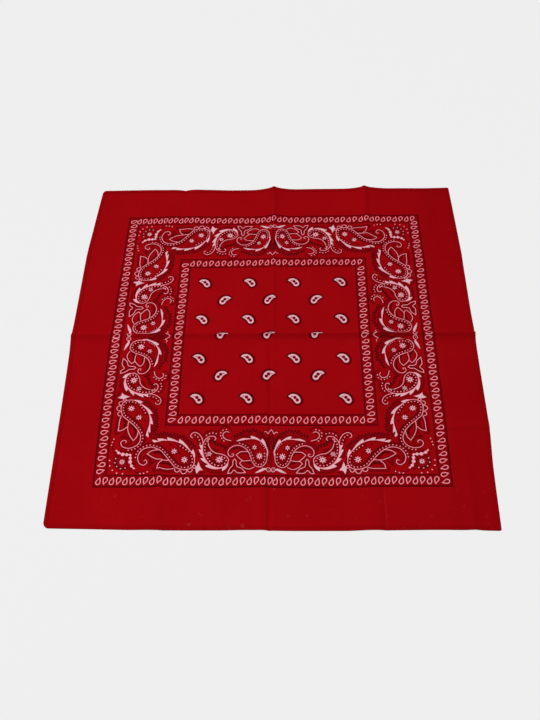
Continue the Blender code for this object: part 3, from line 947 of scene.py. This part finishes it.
red_cotton = cotton("red_cotton", (0.350, 0.0020, 0.0044, 1), (0.305, 0.0014, 0.0035, 1))
hem_cotton = cotton("hem_cotton", (0.320, 0.0018, 0.0040, 1), (0.270, 0.0012, 0.0030, 1))
white_print = cotton("white_print", (0.77, 0.50, 0.56, 1), (0.72, 0.40, 0.46, 1), 0.3, wear_and_side_shade=False)
pale_print = cotton("pale_print", (1.00, 0.35, 0.41, 1), (0.93, 0.27, 0.33, 1), 0.2, wear_and_side_shade=False)
dark_print = cotton("dark_print", (0.105, 0.002, 0.004, 1), (0.070, 0.001, 0.003, 1), wear_and_side_shade=False)
shade_print = cotton("shade_print", (0.210, 0.0015, 0.0040, 1), (0.175, 0.0010, 0.0030, 1), wear_and_side_shade=False)
faint_print = cotton("faint_print", (0.262, 0.0017, 0.0040, 1), (0.226, 0.0012, 0.0032, 1), wear_and_side_shade=False)
red_thread = cotton("red_thread", (0.300, 0.0018, 0.0040, 1), (0.240, 0.0012, 0.0030, 1), wear_and_side_shade=False)

# ---------------------------------------------------------------- the cloth
HEM_WIDTH = 5.6 * MM
HEM_OVERLAP = 0.9 * MM  # how far the cloth's face reaches under the hem
TOP_MAP, UNDER_MAP, MAP_EDGE = 0.70, 0.27, 0.01  # the sides of the cloth's two maps, and their margin
UNDER_MAP_AT = np.array([0.72, MAP_EDGE])
columns = grid_lines("y", HALF - HEM_WIDTH + HEM_OVERLAP)
rows = grid_lines("x", HALF - HEM_WIDTH + HEM_OVERLAP)
x, y = (values.ravel() for values in plan(*np.meshgrid(columns, rows, indexing="ij")))
n, m = len(columns), len(rows)
under = height(x, y)
up = normals(x, y)
points = np.vstack([np.column_stack([x, y, under + CLOTH_WALL]), np.column_stack([x, y, under])])
cells = [(i * m + j, (i + 1) * m + j, (i + 1) * m + j + 1, i * m + j + 1)
         for i in range(n - 1) for j in range(m - 1)]
faces = cells + [tuple(n * m + v for v in cell[::-1]) for cell in cells]
rim = [i * m for i in range(n)] + [(n - 1) * m + j for j in range(1, m)]
rim += [i * m + m - 1 for i in range(n - 2, -1, -1)] + [j for j in range(m - 2, 0, -1)]
faces += [(v, n * m + v, n * m + w, w) for v, w in zip(rim, rim[1:] + rim[:1])]
flat = np.column_stack([x, y]) / (2 * HALF) + 0.5
uv = np.vstack([MAP_EDGE + flat * TOP_MAP, UNDER_MAP_AT + flat * UNDER_MAP])
cloth = make_mesh("cloth_skin", points, faces, [red_cotton], uv=uv, vertex_normals=np.vstack([up, -up]))
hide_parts("cloth")

# ---------------------------------------------------------------- the hems
# the section of a hem, from its fold: (how far in, height over the underside), in mm
HEM_SECTION = [(0, 0.70), (0.12, 1.02), (0.5, 1.24), (1.2, 1.36), (2.4, 1.40), (3.4, 1.36), (4.1, 1.18),
               (4.7, 1.24), (5.2, 1.12), (5.55, 0.92), (5.75, 0.78), (5.75, 0.30), (5.2, 0), (1, 0),
               (0.35, 0.10), (0.08, 0.36)]
CORNER_LINES = HALF - np.array([0.3, 0.8, 1.5, 2.4, 3.5, 4.8, 6.5]) * MM
SIDES = {"front": (0, -1), "right": (1, 0), "back": (0, 1), "left": (-1, 0)}


def lifted(side, along, out, rise):
    """Points so far along that side, so far out from the middle and so high over the underside."""
    sx, sy = SIDES[side]
    x, y = plan(*((along * -sy, out * sy) if sx == 0 else (out * sx, along * sx)))
    return np.column_stack([x, y, height(x, y) + rise])


for side, way in SIDES.items():
    lines = np.concatenate([grid_lines("y" if way[0] == 0 else "x", HALF), CORNER_LINES, -CORNER_LINES])
    lines = np.unique(np.round(lines, 7))
    rings = []
    for inset, rise in HEM_SECTION:
        along = lines / HALF * (HALF - inset * MM)  # the ends are mitred
        rings.append(lifted(side, along, np.full_like(along, HALF - inset * MM), rise * MM))
    count = len(lines)
    faces = []
    for i in range(len(rings)):
        k = (i + 1) % len(rings)
        faces += [(i * count + j, i * count + j + 1, k * count + j + 1, k * count + j)
                  for j in range(count - 1)]
    ends = [tuple(i * count + end for i in range(len(rings))) for end in (0, count - 1)]
    hem = make_mesh("hem_%s_skin" % side, np.vstack(rings), faces + [ends[0], ends[1][::-1]], [hem_cotton])
    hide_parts("hem_" + side)

# ---------------------------------------------------------------- the sewing
STITCH = {"inset": 4.1, "pitch": 3.0, "length": 2.3, "width": 0.42, "height": 0.30, "floor": 1.16}  # mm
ROW_END = 3.0  # how far from the hem's corners the stitches start and stop, in mm
STITCH_FORM = [(0, 0), (0.12, 0.75), (0.5, 1), (0.88, 0.75), (1, 0)]  # (share of its length, of its width)
ROUND = np.radians([0, 45, 90, 135, 180])
shares, swell = np.array(STITCH_FORM, float).T
points, faces = [], []
for side in SIDES:
    reach = HALF / MM - STITCH["inset"] - ROW_END
    for place in np.arange(-reach, reach, STITCH["pitch"]):
        base = len(points) * len(shares)
        for angle in ROUND:
            aside = swell * STITCH["width"] / 2 * np.cos(angle)
            rise = swell * STITCH["height"] * np.sin(angle)
            out = (HALF / MM - STITCH["inset"] + aside) * MM
            along = (place + shares * STITCH["length"]) * MM
            points.append(lifted(side, along, out, (STITCH["floor"] + rise) * MM))
        for j in range(len(ROUND) - 1):
            for v in range(base + j * len(shares), base + (j + 1) * len(shares) - 1):
                faces.append((v, v + 1, v + len(shares) + 1, v + len(shares)))
stitches = make_mesh("hem_stitches", np.vstack(points), faces, [red_thread])

PRINTS = [  # the paint, how far in mm it lies above the cloth, its material and its slot
    ("faint", FAINT, 0.03, faint_print, "dark_print"),
    ("shade", SHADE, 0.045, shade_print, "dark_print"),
    ("dark", DARK, 0.06, dark_print, "dark_print"),
    ("pale", PALE, 0.075, pale_print, "white_print"),
    ("white", WHITE, 0.09, white_print, "white_print"),
]
for name, paint, lift, material, slot in PRINTS:
    print_piece("print_" + name, paint, lift, material)

# ---------------------------------------------------------------- floor, light and camera
FLOOR_LOOKS = {"Base Color": (0.03, 0.03, 0.03, 1), "Roughness": 1.0, "Specular IOR Level": 0.0,
               "Emission Color": (1, 1, 1, 1), "Emission Strength": 0.835}
bpy.ops.mesh.primitive_plane_add(size=14, location=(0, 0, -0.02 * MM))
floor = bpy.context.object
floor.name = "floor"
floor.data.materials.append(nodes_of("floor", FLOOR_LOOKS)[0])

world = bpy.data.worlds.new("studio")
bpy.context.scene.world = world
world.use_nodes = True
world.node_tree.nodes["Background"].inputs["Color"].default_value = (1, 1, 1, 1)
world.node_tree.nodes["Background"].inputs["Strength"].default_value = 0.12


def add_light(name, kind, place, target, **values):
    lamp = bpy.data.lights.new(name, kind)
    for key, value in values.items():
        setattr(lamp, key, value)
    lamp_object = bpy.data.objects.new(name, lamp)
    lamp_object.location = place
    aim = Vector(target) - Vector(place)
    lamp_object.rotation_euler = aim.to_track_quat("-Z", "Y").to_euler()
    bpy.context.scene.collection.objects.link(lamp_object)


add_light("key", "AREA", (-0.45, -0.10, 1.5), (-0.45, -0.10, 0), shape="SQUARE", size=0.8, energy=12.4)
add_light("window", "SUN", (-0.15, 0.6, 1.0), (0, 0, 0), energy=1.47, angle=np.radians(24))

FOCAL = 735.5  # in pixels of the 540 x 720 photograph
ELEVATION, AZIMUTH, ROLL = np.radians([58.54, 2.40, -2.285])
DISTANCE = 0.9831
TARGET = np.array([-2.45, -38.3, 0]) * MM
back = np.array([np.sin(AZIMUTH), -np.cos(AZIMUTH), np.tan(ELEVATION)]) * np.cos(ELEVATION)
right = np.cross((0, 0, 1), back)
right /= np.linalg.norm(right)
upward = np.cross(back, right)
right, upward = (np.cos(ROLL) * right + np.sin(ROLL) * upward, -np.sin(ROLL) * right + np.cos(ROLL) * upward)
lens = bpy.data.cameras.new("camera")
lens.sensor_fit = "VERTICAL"
lens.sensor_height = 36.0
lens.lens = FOCAL / 720 * lens.sensor_height
lens.clip_start = 0.01
lens.clip_end = 50
camera = bpy.data.objects.new("camera", lens)
bpy.context.scene.collection.objects.link(camera)
turned = np.column_stack([right, upward, back])
camera.matrix_world = Matrix.Translation(Vector(TARGET + back * DISTANCE)) @ Matrix(turned.tolist()).to_4x4()
bpy.context.scene.camera = camera

bpy.context.scene.view_settings.view_transform = "Standard"
bpy.context.scene.view_settings.look = "None"
